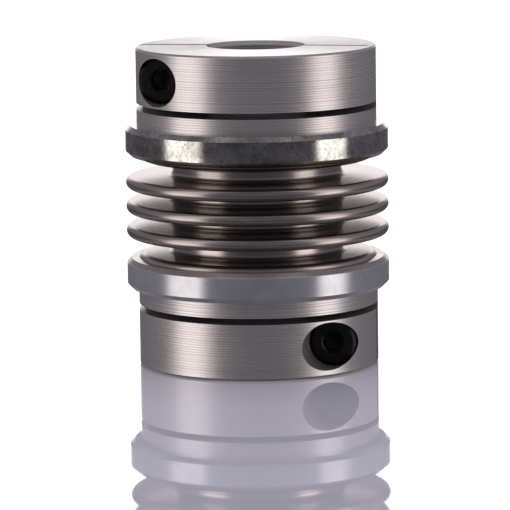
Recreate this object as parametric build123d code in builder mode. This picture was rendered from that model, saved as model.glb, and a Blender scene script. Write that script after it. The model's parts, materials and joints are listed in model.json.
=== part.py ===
from build123d import *
import os

os.makedirs("parts", exist_ok=True)

# Bellows shaft coupling. The shaft axis is Z and the origin is at mid-length.
# Both clamp screws point along Y, with their heads on the -Y side.
# All sizes are in millimetres. Each "_z" is a height above the middle plane.

# Driving dimensions
length = 50.0
hub_radius = 18.8
ring_radius = 20.6
bore_radius = 7.0
pitch = 3.8
convolutions = 3
root_radius = 13.25
ply_thickness = 0.14
ply_gap = 0.02
fit_gap = 0.05

# Bellows: radii of the bends on its outer surface, the straight neck at each end,
# and the collar under each ring
bend_radius = pitch / 4
corner_radius = 1.1
collar_radius = 18.6
end_root_z = pitch * convolutions / 2
neck_length = 0.65
end_flank_z = end_root_z + neck_length + bend_radius
collar_start_z = end_flank_z + corner_radius
sheet_thickness = 2 * ply_thickness + ply_gap

# Clamp ring, pressed over the collar and chamfered at both ends
ring_inner_radius = collar_radius + fit_gap
ring_face_z = 8.1
ring_chamfer = 0.75

# Hub: a thick clamp end, and a spigot that fills the bellows collar
shoulder_z = 12.8
hub_end_z = length / 2
spigot_clearance = 0.2
spigot_end_z = end_flank_z + sheet_thickness + spigot_clearance
spigot_radius = collar_radius - sheet_thickness - fit_gap
spigot_chamfer = 0.8
rim_chamfer = 0.3
bore_mouth_chamfer = 0.65
collar_end_z = shoulder_z - 0.5

# Saw cuts that free the clamping jaw
cross_cut_z = 15.3
cross_cut_width = 1.0
cross_cut_depth_y = 2.2
slit_width = 1.1
hinge_web = 1.1

# Socket head cap screw, M4 x 12
thread_radius = 2.0
head_radius = 3.5
head_height = 4.0
shank_length = 12.0
socket_across_flats = 3.0
socket_depth = 2.0
socket_cone_depth = 0.7
head_chamfer = 0.35
socket_lead = 0.15
tip_chamfer = 0.6

# Where the clamp screw sits in its hub
screw_x = -13.3
screw_z = 20.3
head_seat_y = -5.3
counterbore_radius = 3.75
clearance_radius = 2.2
tapped_radius = thread_radius + fit_gap
tapped_end_y = 9.0


# ---- Clamp hubs -------------------------------------------------------------

with BuildPart() as upper_hub:
    # Turned blank, bored through
    with BuildSketch(Plane.XZ):
        with BuildLine():
            Polyline(
                (bore_radius, spigot_end_z + rim_chamfer),
                (bore_radius + rim_chamfer, spigot_end_z),
                (spigot_radius - spigot_chamfer, spigot_end_z),
                (spigot_radius, spigot_end_z + spigot_chamfer),
                (spigot_radius, shoulder_z),
                (hub_radius, shoulder_z),
                (hub_radius, hub_end_z - rim_chamfer),
                (hub_radius - rim_chamfer, hub_end_z),
                (bore_radius + bore_mouth_chamfer, hub_end_z),
                (bore_radius, hub_end_z - bore_mouth_chamfer),
                close=True,
            )
        make_face()
    revolve(axis=Axis.Z)

    # Screw seat, clearance hole in the jaw, tapped hole in the back half
    with BuildSketch(Plane.XZ.offset(-head_seat_y)):
        with Locations((screw_x, screw_z)):
            Circle(counterbore_radius)
    extrude(amount=hub_radius, mode=Mode.SUBTRACT)
    with BuildSketch(Plane.XZ):
        with Locations((screw_x, screw_z)):
            Circle(clearance_radius)
    extrude(amount=hub_radius, mode=Mode.SUBTRACT)
    with BuildSketch(Plane.XZ.offset(-tapped_end_y)):
        with Locations((screw_x, screw_z)):
            Circle(tapped_radius)
    extrude(amount=tapped_end_y, mode=Mode.SUBTRACT)

    # Slit across the bore, open beside the screw and closed by a thin web
    with BuildSketch(Plane.XY.offset(cross_cut_z)):
        with Locations((hub_radius - hinge_web, 0)):
            Rectangle(2 * hub_radius, slit_width, align=(Align.MAX, Align.CENTER))
    extrude(amount=length, mode=Mode.SUBTRACT)

    # Cross cut from the front, so that only the web holds the jaw
    with BuildSketch(Plane.XY.offset(cross_cut_z)):
        with Locations((0, cross_cut_depth_y)):
            Rectangle(3 * hub_radius, 2 * hub_radius, align=(Align.CENTER, Align.MAX))
    extrude(amount=cross_cut_width, mode=Mode.SUBTRACT)

with BuildPart() as lower_hub:
    # The same hub, turned end for end about Y
    add(upper_hub.part, rotation=(0, 180, 0))


# ---- Clamp rings ------------------------------------------------------------

with BuildPart() as upper_clamp_ring:
    with BuildSketch(Plane.XZ):
        with BuildLine():
            Polyline(
                (ring_inner_radius, ring_face_z),
                (ring_radius - ring_chamfer, ring_face_z),
                (ring_radius, ring_face_z + ring_chamfer),
                (ring_radius, shoulder_z - ring_chamfer),
                (ring_radius - ring_chamfer, shoulder_z),
                (ring_inner_radius, shoulder_z),
                close=True,
            )
        make_face()
    revolve(axis=Axis.Z)

with BuildPart() as lower_clamp_ring:
    add(upper_clamp_ring.part, rotation=(0, 180, 0))


# ---- Bellows ----------------------------------------------------------------

def bellows_surface(depth):
    """Draw one surface of the sheet, depth below the outer one, from bottom to top."""
    crest_bend = bend_radius - depth
    root_bend = bend_radius + depth
    corner_bend = corner_radius - depth
    root_centre = root_radius + bend_radius
    crest_centre = ring_radius - bend_radius
    corner_centre = collar_radius - corner_radius
    neck_radius = root_radius - depth
    bottom_z = -collar_end_z
    # Lower collar, the corner into the first flank, and the neck
    Line((collar_radius - depth, bottom_z), (collar_radius - depth, -collar_start_z))
    CenterArc((corner_centre, -collar_start_z), corner_bend, 0, 90)
    Line((corner_centre, -end_flank_z - depth), (root_centre, -end_flank_z - depth))
    CenterArc((root_centre, -end_root_z - neck_length), root_bend, 180, 90)
    Line((neck_radius, -end_root_z - neck_length), (neck_radius, -end_root_z))
    # Each convolution: out of one root, round the crest, and into the next root
    for index in range(convolutions):
        root_z = -end_root_z + index * pitch
        crest_z = root_z + pitch / 2
        next_root_z = root_z + pitch
        CenterArc((root_centre, root_z), root_bend, 90, 90)
        Line((root_centre, root_z + root_bend), (crest_centre, root_z + root_bend))
        CenterArc((crest_centre, crest_z), crest_bend, -90, 180)
        Line((crest_centre, crest_z + crest_bend), (root_centre, crest_z + crest_bend))
        CenterArc((root_centre, next_root_z), root_bend, 180, 90)
    # Upper neck, the last flank, its corner and the upper collar
    Line((neck_radius, end_root_z), (neck_radius, end_root_z + neck_length))
    CenterArc((root_centre, end_root_z + neck_length), root_bend, 90, 90)
    Line((root_centre, end_flank_z + depth), (corner_centre, end_flank_z + depth))
    CenterArc((corner_centre, collar_start_z), corner_bend, -90, 90)
    Line((collar_radius - depth, collar_start_z), (collar_radius - depth, collar_end_z))


def ply_section(outer_depth, inner_depth):
    """Draw a closed outline between two depths of the sheet."""
    bellows_surface(outer_depth)
    bellows_surface(inner_depth)
    for end_z in (-collar_end_z, collar_end_z):
        Line((collar_radius - outer_depth, end_z), (collar_radius - inner_depth, end_z))


with BuildPart() as bellows_outer_ply:
    with BuildSketch(Plane.XZ):
        with BuildLine():
            ply_section(0, ply_thickness)
        make_face()
    revolve(axis=Axis.Z)

with BuildPart() as bellows_inner_ply:
    with BuildSketch(Plane.XZ):
        with BuildLine():
            ply_section(ply_thickness + ply_gap, sheet_thickness)
        make_face()
    revolve(axis=Axis.Z)


# ---- Clamp screws -----------------------------------------------------------

with BuildPart() as upper_clamp_screw:
    # Head and shank, turned about the screw's own axis, which lies along Y
    head_front_y = head_seat_y - head_height
    tip_y = head_seat_y + shank_length
    with BuildSketch(Plane.XY.offset(screw_z)):
        with BuildLine():
            Polyline(
                (screw_x, head_front_y),
                (screw_x + head_radius - head_chamfer, head_front_y),
                (screw_x + head_radius, head_front_y + head_chamfer),
                (screw_x + head_radius, head_seat_y),
                (screw_x + thread_radius, head_seat_y),
                (screw_x + thread_radius, tip_y - tip_chamfer),
                (screw_x + thread_radius - tip_chamfer, tip_y),
                (screw_x, tip_y),
                close=True,
            )
        make_face()
    revolve(axis=Axis((screw_x, 0, screw_z), (0, 1, 0)))

    # Hexagon socket with a drilled point at its bottom
    socket_corner = socket_across_flats / 3 ** 0.5
    with BuildSketch(Plane.XZ.offset(-head_front_y)):
        with Locations((screw_x, screw_z)):
            RegularPolygon(socket_across_flats / 2, 6, major_radius=False)
    extrude(amount=-socket_depth, mode=Mode.SUBTRACT)
    with BuildSketch(Plane.XY.offset(screw_z)):
        with BuildLine():
            Polyline(
                (screw_x, head_front_y),
                (screw_x + socket_corner + socket_lead, head_front_y),
                (screw_x + socket_corner - socket_lead, head_front_y + 2 * socket_lead),
                (screw_x + socket_across_flats / 2, head_front_y + 2 * socket_lead),
                (screw_x + socket_across_flats / 2, head_front_y + socket_depth),
                (screw_x, head_front_y + socket_depth + socket_cone_depth),
                close=True,
            )
        make_face()
    revolve(axis=Axis((screw_x, 0, screw_z), (0, 1, 0)), mode=Mode.SUBTRACT)

with BuildPart() as lower_clamp_screw:
    add(upper_clamp_screw.part, rotation=(0, 180, 0))


# ---- Named solids -----------------------------------------------------------

upper_hub.part.label = "upper_hub"
export_step(upper_hub.part, "parts/upper_hub.step")

lower_hub.part.label = "lower_hub"
export_step(lower_hub.part, "parts/lower_hub.step")

upper_clamp_ring.part.label = "upper_clamp_ring"
export_step(upper_clamp_ring.part, "parts/upper_clamp_ring.step")

lower_clamp_ring.part.label = "lower_clamp_ring"
export_step(lower_clamp_ring.part, "parts/lower_clamp_ring.step")

bellows_outer_ply.part.label = "bellows_outer_ply"
export_step(bellows_outer_ply.part, "parts/bellows_outer_ply.step")

bellows_inner_ply.part.label = "bellows_inner_ply"
export_step(bellows_inner_ply.part, "parts/bellows_inner_ply.step")

upper_clamp_screw.part.label = "upper_clamp_screw"
export_step(upper_clamp_screw.part, "parts/upper_clamp_screw.step")

lower_clamp_screw.part.label = "lower_clamp_screw"
export_step(lower_clamp_screw.part, "parts/lower_clamp_screw.step")
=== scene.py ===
import json
import math

import bmesh
import bpy
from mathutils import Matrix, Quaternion, Vector

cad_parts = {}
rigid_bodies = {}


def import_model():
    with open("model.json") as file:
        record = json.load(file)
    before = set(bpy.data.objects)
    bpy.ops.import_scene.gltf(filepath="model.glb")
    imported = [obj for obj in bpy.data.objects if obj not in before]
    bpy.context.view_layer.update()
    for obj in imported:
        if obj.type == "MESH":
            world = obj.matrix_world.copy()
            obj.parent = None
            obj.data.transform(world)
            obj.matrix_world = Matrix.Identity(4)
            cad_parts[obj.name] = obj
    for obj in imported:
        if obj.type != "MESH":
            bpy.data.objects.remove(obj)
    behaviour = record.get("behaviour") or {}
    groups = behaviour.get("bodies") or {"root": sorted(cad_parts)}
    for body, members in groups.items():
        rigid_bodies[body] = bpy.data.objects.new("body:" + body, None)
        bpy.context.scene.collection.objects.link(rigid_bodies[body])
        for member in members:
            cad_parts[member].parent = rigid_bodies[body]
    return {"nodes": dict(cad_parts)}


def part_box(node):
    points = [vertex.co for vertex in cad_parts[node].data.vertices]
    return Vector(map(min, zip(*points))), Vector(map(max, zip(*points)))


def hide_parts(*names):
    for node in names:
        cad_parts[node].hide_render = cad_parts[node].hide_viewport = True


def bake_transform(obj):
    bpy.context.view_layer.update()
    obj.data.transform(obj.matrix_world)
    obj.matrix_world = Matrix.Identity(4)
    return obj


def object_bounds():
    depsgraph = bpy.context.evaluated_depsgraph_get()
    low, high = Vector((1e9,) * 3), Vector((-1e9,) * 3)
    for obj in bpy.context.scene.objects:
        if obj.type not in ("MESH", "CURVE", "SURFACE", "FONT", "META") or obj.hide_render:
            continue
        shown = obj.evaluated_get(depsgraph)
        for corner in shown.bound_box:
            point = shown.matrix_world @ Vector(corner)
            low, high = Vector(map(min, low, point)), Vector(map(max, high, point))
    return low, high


for leftover in list(bpy.data.objects):
    bpy.data.objects.remove(leftover)

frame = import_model()
cad_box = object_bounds()
nodes = frame["nodes"]

MM = 0.001

# Bellows sheet. Its collar ends come from the CAD box; the rest repeats the CAD sizes.
PITCH = 3.8 * MM
CONVOLUTIONS = 3
ROOT_RADIUS = 13.25 * MM
COLLAR_RADIUS = 18.6 * MM
CORNER_RADIUS = 1.1 * MM
PLY_THICKNESS = 0.14 * MM
PLY_GAP = 0.02 * MM
CREST_RADIUS = 20.6 * MM
COLLAR_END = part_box("bellows_outer_ply")[1].z
BEND_RADIUS = PITCH / 4
NECK_LENGTH = 0.65 * MM
END_ROOT = PITCH * CONVOLUTIONS / 2
END_FLANK = END_ROOT + NECK_LENGTH + BEND_RADIUS
COLLAR_START = END_FLANK + CORNER_RADIUS

# Pitch of the turning marks on the hubs, the height where each ring's inner chamfer ends,
# and a radius just outside the bore's chamfered mouth
FEED = 0.39 * MM
CHAMFER_END = 8.85 * MM
BORE_MOUTH = 7.7 * MM

# Mesh fineness
ROUND_STEPS = 160
BEND_STEPS = 10
SAME_POINT = 1e-7
SHARP_EDGE = math.radians(50)

# Camera, as the object is seen
CAMERA_AZIMUTH = math.radians(10.2)
CAMERA_ELEVATION = math.radians(7.7)
CAMERA_ROLL = math.radians(-0.75)
CAMERA_DISTANCE = 615.5 * MM
CAMERA_LENS = 276.4
SENSOR_WIDTH = 36.0
AIM_ACROSS = -0.5 * MM
AIM_UP = -8.1 * MM

# Studio, in metres and watts; each glow is a colour and a strength
FLOOR_RADIUS = 3.0
OVERHEAD_SIZE = 1.2
OVERHEAD_HEIGHT = 1.2
OVERHEAD_ENERGY = 11.0
PANEL_GLOW = ((1.0, 0.95, 0.885), 2.3)
BACKDROP_GLOW = ((1.0, 0.97, 0.95), 1.6)
ROOM_GLOW = ((1.0, 0.95, 1.06), 0.29)


# ---- Bellows ----------------------------------------------------------------

def arc(centre, radius, start, end):
    """Points (radius from the axis, height) along an arc, angles in degrees."""
    points = []
    steps = max(2, round(BEND_STEPS * abs(end - start) / 90))
    for step in range(steps + 1):
        angle = math.radians(start + (end - start) * step / steps)
        points.append((centre[0] + radius * math.cos(angle), centre[1] + radius * math.sin(angle)))
    return points


def middle_line(depth):
    """The convolutions, from the bottom of the lowest root to the bottom of the highest one."""
    root_centre = ROOT_RADIUS + BEND_RADIUS
    crest_centre = CREST_RADIUS - BEND_RADIUS
    root_bend = BEND_RADIUS + depth
    crest_bend = BEND_RADIUS - depth
    points = []
    for index in range(CONVOLUTIONS):
        root = -END_ROOT + index * PITCH
        points += arc((root_centre, root), root_bend, 180, 90)
        points += arc((crest_centre, root + PITCH / 2), crest_bend, -90, 90)
        points += arc((root_centre, root + PITCH), root_bend, 270, 180)
    return points


def end_line(depth):
    """The upper end, from the bottom of the highest root to the end of the collar."""
    neck_end = END_ROOT + NECK_LENGTH
    points = [(ROOT_RADIUS - depth, END_ROOT)]
    points += arc((ROOT_RADIUS + BEND_RADIUS, neck_end), BEND_RADIUS + depth, 180, 90)
    points += arc((COLLAR_RADIUS - CORNER_RADIUS, COLLAR_START), CORNER_RADIUS - depth, -90, 0)
    points.append((COLLAR_RADIUS - depth, COLLAR_END))
    return points


def revolve(name, outline):
    """A closed ring swept round Z from a closed outline of (radius, height) points."""
    tidy = [p for p, q in zip(outline, outline[-1:] + outline[:-1]) if math.dist(p, q) > SAME_POINT]
    made = bmesh.new()
    rows = []
    for step in range(ROUND_STEPS):
        turn = 2 * math.pi * step / ROUND_STEPS
        rows.append([made.verts.new((r * math.cos(turn), r * math.sin(turn), z)) for r, z in tidy])
    for row, following in zip(rows, rows[1:] + rows[:1]):
        for index in range(len(tidy)):
            after = (index + 1) % len(tidy)
            made.faces.new((row[index], following[index], following[after], row[after]))
    bmesh.ops.recalc_face_normals(made, faces=made.faces)
    mesh = bpy.data.meshes.new(name)
    made.to_mesh(mesh)
    made.free()
    mesh.shade_smooth()
    mesh.set_sharp_from_angle(angle=SHARP_EDGE)
    piece = bpy.data.objects.new(name, mesh)
    bpy.context.scene.collection.objects.link(piece)
    return piece


def flipped(points):
    return [(r, -z) for r, z in reversed(points)]


def bellows_ply(name, node, outer_depth, inner_depth, material):
    """One ply in three lengths: the lower end, the middle convolutions and the upper end."""
    lengths = {
        "lower": (flipped(end_line(outer_depth)), flipped(end_line(inner_depth))),
        "middle": (middle_line(outer_depth), middle_line(inner_depth)),
        "upper": (end_line(outer_depth), end_line(inner_depth)),
    }
    for place, (outside, inside) in lengths.items():
        piece = revolve(f"{name}_{place}", outside + inside[::-1])
        piece.data.materials.append(material)
        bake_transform(piece)
        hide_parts(node)


# ---- Node building ----------------------------------------------------------

# Colour sockets of the mix node
MIX_FIRST = 6
MIX_SECOND = 7
MIX_RESULT = 2


class Graph:
    """A node tree, and short ways to add nodes to it."""

    def __init__(self, tree):
        self.tree = tree

    def add(self, kind, **settings):
        made = self.tree.nodes.new(kind)
        for key, value in settings.items():
            setattr(made, key, value)
        return made

    def link(self, source, target):
        self.tree.links.new(source, target)

    def put(self, value, socket):
        if isinstance(value, bpy.types.NodeSocket):
            self.link(value, socket)
        else:
            socket.default_value = value

    def maths(self, operation, first, second=0.0):
        made = self.add("ShaderNodeMath", operation=operation)
        self.put(first, made.inputs[0])
        self.put(second, made.inputs[1])
        return made.outputs[0]

    def split(self, vector):
        made = self.add("ShaderNodeSeparateXYZ")
        self.link(vector, made.inputs[0])
        return made.outputs

    def ramp(self, value, stops):
        """A colour along value, from stops of (position, colour)."""
        made = self.add("ShaderNodeValToRGB")
        elements = made.color_ramp.elements
        while len(elements) < len(stops):
            elements.new(0.5)
        for element, (position, colour) in zip(elements, stops):
            element.position = position
            element.color = (*colour, 1)
        self.link(value, made.inputs["Fac"])
        return made.outputs["Color"]


class Shader(Graph):
    """A new material with one Principled shader."""

    def __init__(self, name):
        self.material = bpy.data.materials.new(name)
        self.material.use_nodes = True
        super().__init__(self.material.node_tree)
        self.surface = self.tree.nodes["Principled BSDF"]
        self.place = self.add("ShaderNodeTexCoord").outputs["Object"]

    def stretched(self, scale):
        made = self.add("ShaderNodeMapping")
        made.inputs["Scale"].default_value = scale
        self.link(self.place, made.inputs["Vector"])
        return made.outputs["Vector"]

    def noise(self, scale, detail=3.0, roughness=0.5, distortion=0.0, vector=None):
        made = self.add("ShaderNodeTexNoise")
        made.inputs["Scale"].default_value = scale
        made.inputs["Detail"].default_value = detail
        made.inputs["Roughness"].default_value = roughness
        made.inputs["Distortion"].default_value = distortion
        self.link(vector or self.place, made.inputs["Vector"])
        return made.outputs["Fac"]

    def height(self):
        return self.split(self.place)["Z"]

    def radius(self):
        parts = self.split(self.place)
        across = self.maths("MULTIPLY", parts["X"], parts["X"])
        deep = self.maths("MULTIPLY", parts["Y"], parts["Y"])
        return self.maths("SQRT", self.maths("ADD", across, deep))

    def rings(self):
        """Distance along a turned profile: grows up a cylinder and outwards on a face."""
        return self.maths("ADD", self.radius(), self.height())

    def multiply(self, first, second):
        """One colour times another. The node names its sockets alike, so they go by number."""
        made = self.add("ShaderNodeMix", data_type="RGBA", blend_type="MULTIPLY")
        made.inputs["Factor"].default_value = 1.0
        self.link(first, made.inputs[MIX_FIRST])
        self.link(second, made.inputs[MIX_SECOND])
        return made.outputs[MIX_RESULT]

    def ring_noise(self, width, detail=2.0):
        """Uneven rings about Z, each about that wide."""
        made = self.add("ShaderNodeTexNoise", noise_dimensions="1D")
        made.inputs["Scale"].default_value = 1 / width
        made.inputs["Detail"].default_value = detail
        self.link(self.rings(), made.inputs["W"])
        return made.outputs["Fac"]

    def between(self, value, low, high):
        """Maps 0 to 1 onto low to high."""
        made = self.add("ShaderNodeMapRange")
        made.inputs["To Min"].default_value = low
        made.inputs["To Max"].default_value = high
        self.link(value, made.inputs["Value"])
        return made.outputs["Result"]

    def bump(self, height, depth, under=None):
        made = self.add("ShaderNodeBump")
        made.inputs["Strength"].default_value = 1.0
        made.inputs["Distance"].default_value = depth
        self.link(height, made.inputs["Height"])
        if under:
            self.link(under, made.inputs["Normal"])
        return made.outputs["Normal"]


def turned_aluminium():
    shader = Shader("turned_aluminium")
    surface = shader.surface
    surface.inputs["Metallic"].default_value = 0.75
    wave = shader.maths("SINE", shader.maths("MULTIPLY", shader.rings(), 2 * math.pi / FEED))
    uneven = shader.ring_noise(0.30 * MM, 3.0)
    lines = shader.maths("ADD", shader.maths("MULTIPLY", wave, 0.22), uneven)
    grey = shader.ramp(lines, [
        (0.20, (0.40, 0.375, 0.385)),
        (0.50, (0.49, 0.46, 0.47)),
        (0.85, (0.54, 0.51, 0.52)),
    ])
    shader.link(grey, surface.inputs["Base Color"])
    smear = shader.noise(160, 4.0, 0.6, 0.4)
    polish = shader.between(smear, 0.20, 0.30)
    bored = shader.maths("LESS_THAN", shader.radius(), BORE_MOUTH)
    rough = shader.maths("ADD", polish, shader.maths("MULTIPLY", bored, 0.3))
    shader.link(rough, surface.inputs["Roughness"])
    surface.inputs["Anisotropic"].default_value = 0.75
    feed = shader.bump(wave, 0.0012 * MM)
    shader.link(shader.bump(uneven, 0.008 * MM, feed), surface.inputs["Normal"])
    tangent = shader.add("ShaderNodeTangent", direction_type="RADIAL", axis="Z")
    shader.link(tangent.outputs[0], surface.inputs["Tangent"])
    return shader.material


def ring_steel(name, clean, film, specks_left, roughness, metallic):
    """Turned steel under a patchy film and pitted with specks; the end by the bellows is painted darker and
    brown as painted shade.
    """
    shader = Shader(name)
    surface = shader.surface
    surface.inputs["Metallic"].default_value = metallic
    patches = shader.noise(260, 5.0, 0.65, 0.6)
    base = shader.ramp(patches, [(0.38, clean), (0.62, film)])
    specks = shader.noise(1900, 6.0, 0.75, 0.2)
    pitted = shader.ramp(specks, [(0.34, (specks_left,) * 3), (0.46, (1.0, 1.0, 1.0))])
    # Painted shade: below the end of the inner chamfer, the ring's end by the bellows is painted darker and
    # brown.
    level = shader.maths("DIVIDE", shader.maths("ABSOLUTE", shader.height()), CHAMFER_END)
    painted_end_shade = shader.ramp(level, [(0.985, (0.72, 0.63, 0.54)), (0.995, (1.0, 1.0, 1.0))])
    shader.link(shader.multiply(shader.multiply(base, pitted), painted_end_shade), surface.inputs["Base Color"])
    shader.link(shader.between(patches, roughness - 0.04, roughness + 0.04), surface.inputs["Roughness"])
    lines = shader.bump(shader.ring_noise(0.12 * MM), 0.002 * MM)
    pits = shader.bump(specks, 0.01 * MM * (1 - specks_left), lines)
    shader.link(pits, surface.inputs["Normal"])
    return shader.material


def bellows_steel():
    shader = Shader("bellows_stainless")
    surface = shader.surface
    surface.inputs["Metallic"].default_value = 1.0
    tone = shader.noise(90, 4.0, 0.6, 0.3, shader.stretched((1, 1, 6)))
    colour = shader.ramp(tone, [
        (0.3, (0.33, 0.295, 0.285)),
        (0.7, (0.43, 0.39, 0.38)),
    ])
    shader.link(colour, surface.inputs["Base Color"])
    shader.link(shader.between(tone, 0.20, 0.30), surface.inputs["Roughness"])
    shader.link(shader.bump(shader.ring_noise(0.14 * MM), 0.004 * MM), surface.inputs["Normal"])
    return shader.material


def black_oxide():
    shader = Shader("black_oxide")
    surface = shader.surface
    surface.inputs["Metallic"].default_value = 0.3
    surface.inputs["Specular IOR Level"].default_value = 0.25
    grain = shader.noise(1500, 4.0, 0.6)
    colour = shader.ramp(grain, [(0.35, (0.006, 0.005, 0.006)), (0.75, (0.020, 0.018, 0.020))])
    shader.link(colour, surface.inputs["Base Color"])
    shader.link(shader.between(grain, 0.30, 0.5), surface.inputs["Roughness"])
    shader.link(shader.bump(grain, 0.01 * MM), surface.inputs["Normal"])
    return shader.material


# ---- Object -----------------------------------------------------------------

def dress(names, material):
    for name in names:
        for slot in nodes[name].material_slots:
            slot.material = material


dress(["upper_hub", "lower_hub"], turned_aluminium())
dress(["upper_clamp_ring"], ring_steel(
    "stained_ring_steel", (0.56, 0.55, 0.545), (0.30, 0.295, 0.28), 0.3, 0.11, 1.0))
dress(["lower_clamp_ring"], ring_steel(
    "clean_ring_steel", (0.475, 0.48, 0.54), (0.43, 0.425, 0.45), 0.85, 0.21, 0.7))
dress(["upper_clamp_screw", "lower_clamp_screw"], black_oxide())

stainless = bellows_steel()
bellows_ply("outer_ply", "bellows_outer_ply", 0, PLY_THICKNESS, stainless)
bellows_ply("inner_ply", "bellows_inner_ply", PLY_THICKNESS + PLY_GAP,
            2 * PLY_THICKNESS + PLY_GAP, stainless)


# ---- Floor, light and camera ------------------------------------------------

def floor_material():
    shader = Shader("pale_gloss_floor")
    surface = shader.surface
    cloud = shader.noise(4, 2.0)
    colour = shader.ramp(cloud, [(0.3, (0.69, 0.675, 0.80)), (0.7, (0.71, 0.695, 0.82))])
    shader.link(colour, surface.inputs["Base Color"])
    surface.inputs["Roughness"].default_value = 0.02
    surface.inputs["IOR"].default_value = 1.45
    surface.inputs["Coat Weight"].default_value = 1.0
    surface.inputs["Coat Roughness"].default_value = 0.02
    return shader.material


def make_floor():
    mesh = bpy.data.meshes.new("floor")
    made = bmesh.new()
    bmesh.ops.create_circle(made, cap_ends=True, segments=96, radius=FLOOR_RADIUS)
    bmesh.ops.translate(made, verts=made.verts, vec=(0, 0, cad_box[0].z))
    made.to_mesh(mesh)
    made.free()
    floor = bpy.data.objects.new("floor", mesh)
    bpy.context.scene.collection.objects.link(floor)
    floor.data.materials.append(floor_material())
    floor.visible_glossy = False
    floor.visible_shadow = False


class World(Graph):
    """A new world, with no nodes yet."""

    def __init__(self, name):
        world = bpy.data.worlds.new(name)
        bpy.context.scene.world = world
        world.use_nodes = True
        super().__init__(world.node_tree)
        self.tree.nodes.clear()

    def levels(self, around, by_side, height, by_rise):
        """Brightness by direction: one ramp round the horizon times one up from it."""
        side = self.ramp(around, by_angle(by_side))
        rise = self.ramp(height, by_height(by_rise))
        return self.maths("MULTIPLY", side, rise)

    def glow(self, colour, strength, level):
        made = self.add("ShaderNodeBackground")
        made.inputs["Color"].default_value = (*colour, 1)
        self.link(self.maths("MULTIPLY", level, strength), made.inputs["Strength"])
        return made.outputs[0]

    def both(self, first, second):
        made = self.add("ShaderNodeAddShader")
        self.link(first, made.inputs[0])
        self.link(second, made.inputs[1])
        return made.outputs[0]


def by_angle(stops):
    """Ramp stops from (degrees to the right of the camera, brightness)."""
    return [(0.5 + degrees / 360, (level,) * 3) for degrees, level in stops]


def by_height(stops):
    """Ramp stops from (degrees above the horizon, brightness)."""
    return [(0.5 + 0.5 * math.sin(math.radians(degrees)), (level,) * 3) for degrees, level in stops]


def make_studio():
    """A studio all round: two tall soft panels, a white backdrop, dim elsewhere."""
    world = World("studio")
    turned = world.add("ShaderNodeMapping")
    turned.inputs["Rotation"].default_value = (0, 0, -CAMERA_AZIMUTH)
    world.link(world.add("ShaderNodeTexCoord").outputs["Generated"], turned.inputs["Vector"])
    parts = world.split(turned.outputs["Vector"])
    toward = world.maths("MULTIPLY", parts["Y"], -1.0)
    angle = world.maths("ARCTAN2", parts["X"], toward)
    around = world.maths("ADD", world.maths("DIVIDE", angle, 2 * math.pi), 0.5)
    height = world.maths("ADD", world.maths("MULTIPLY", parts["Z"], 0.5), 0.5)

    panels = world.levels(
        around,
        [(-180, 0), (-89, 0), (-83, 0.95), (-53, 1), (-48, 0), (52, 0), (57, 1), (80, 1), (86, 0), (180, 0)],
        height,
        [(-40, 0), (-22, 0.45), (-14, 1), (-1, 1), (6, 0.5), (25, 0.5), (45, 0.36), (65, 0.14), (85, 0.03)],
    )
    backdrop = world.levels(
        around,
        [(-180, 1), (-168, 1), (-160, 0), (160, 0), (168, 1), (180, 1)],
        height,
        [(-30, 0), (-5, 0.1), (1, 0.8), (7, 1), (14, 1), (30, 0)],
    )
    room = world.levels(
        around,
        [(-180, 0.4), (-150, 0.9), (-105, 1), (-90, 1.2), (-50, 1), (-25, 0.7), (0, 0.65),
         (25, 0.7), (50, 1), (85, 1.2), (110, 1.1), (150, 0.9), (180, 0.4)],
        height,
        [(-90, 0.2), (-50, 0.4), (-25, 1.1), (-16, 0.45), (0, 0.45),
         (10, 1.1), (20, 1), (60, 0.8), (90, 0.9)],
    )
    lights = world.both(
        world.glow(*PANEL_GLOW, panels),
        world.both(
            world.glow(*BACKDROP_GLOW, backdrop),
            world.glow(*ROOM_GLOW, room),
        ),
    )
    white = world.add("ShaderNodeBackground")
    white.inputs["Color"].default_value = (1.0, 1.0, 1.0, 1)
    chosen = world.add("ShaderNodeMixShader")
    world.link(world.add("ShaderNodeLightPath").outputs["Is Camera Ray"], chosen.inputs["Fac"])
    world.link(lights, chosen.inputs[1])
    world.link(white.outputs[0], chosen.inputs[2])
    world.link(chosen.outputs[0], world.add("ShaderNodeOutputWorld").inputs["Surface"])


def make_overhead():
    """A wide soft light above, which brightens the floor but isn't mirrored in the metal."""
    data = bpy.data.lights.new("overhead", "AREA")
    data.size = OVERHEAD_SIZE
    data.energy = OVERHEAD_ENERGY
    overhead = bpy.data.objects.new("overhead", data)
    bpy.context.scene.collection.objects.link(overhead)
    overhead.location = (0, 0, OVERHEAD_HEIGHT)
    overhead.visible_glossy = False
    overhead.visible_camera = False


def make_camera():
    data = bpy.data.cameras.new("camera")
    data.sensor_width = SENSOR_WIDTH
    data.lens = CAMERA_LENS
    data.clip_start = 0.01
    data.clip_end = 10.0
    camera = bpy.data.objects.new("camera", data)
    bpy.context.scene.collection.objects.link(camera)
    level = math.cos(CAMERA_ELEVATION)
    back = Vector((
        math.sin(CAMERA_AZIMUTH) * level,
        -math.cos(CAMERA_AZIMUTH) * level,
        math.sin(CAMERA_ELEVATION),
    ))
    right = Vector((math.cos(CAMERA_AZIMUTH), math.sin(CAMERA_AZIMUTH), 0))
    target = right * AIM_ACROSS + back.cross(right) * AIM_UP
    camera.location = back * CAMERA_DISTANCE
    aim = (target - camera.location).to_track_quat("-Z", "Y")
    camera.rotation_mode = "QUATERNION"
    camera.rotation_quaternion = aim @ Quaternion((0, 0, 1), CAMERA_ROLL)
    bpy.context.scene.camera = camera


make_floor()
make_studio()
make_overhead()
make_camera()
bpy.context.scene.view_settings.view_transform = "Standard"
